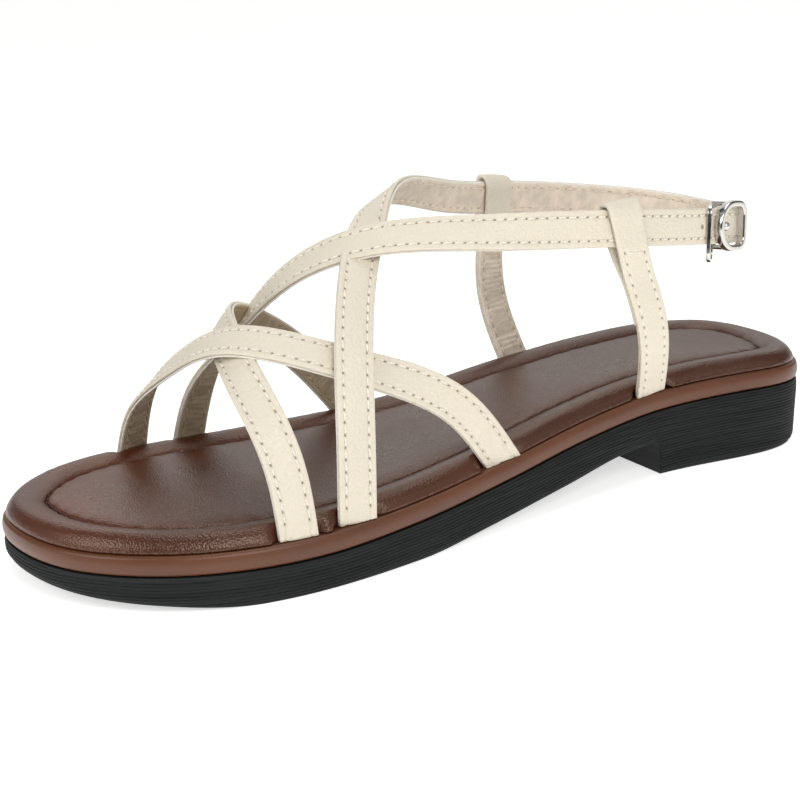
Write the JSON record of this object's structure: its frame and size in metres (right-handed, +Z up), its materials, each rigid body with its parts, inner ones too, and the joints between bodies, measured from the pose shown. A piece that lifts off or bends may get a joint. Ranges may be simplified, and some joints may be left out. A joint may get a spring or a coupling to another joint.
{
  "type": "cross strap sandal",
  "caption": "Left sandal with crossed narrow leather straps over the forefoot, a buckled ankle strap held by two side tabs, a padded brown insole and a low block heel.",
  "frame": {"origin": "centre of the sandal's bounding box in plan, on the ground plane under the sole", "axes": "+X from the heel to the toe, +Y to the outer side of the left foot, +Z up"},
  "size_m": [0.249, 0.0918, 0.0918],
  "materials": {
    "black_rubber": "matt, with fine level ridges",
    "rand_leather": "smooth, semi-gloss",
    "insole_leather": "soft grain, semi-gloss",
    "strap_leather": "smooth grain, satin",
    "polished_metal": "polished"
  },
  "bodies": {
    "root": {"outsole": "black_rubber", "midsole": "rand_leather", "insole": "insole_leather", "upper": "strap_leather", "quarter_tab_outer": "strap_leather", "quarter_tab_inner": "strap_leather", "buckle_frame": "polished_metal", "buckle_prong": "polished_metal", "strap_loop": "polished_metal"}
  },
  "joints": []
}
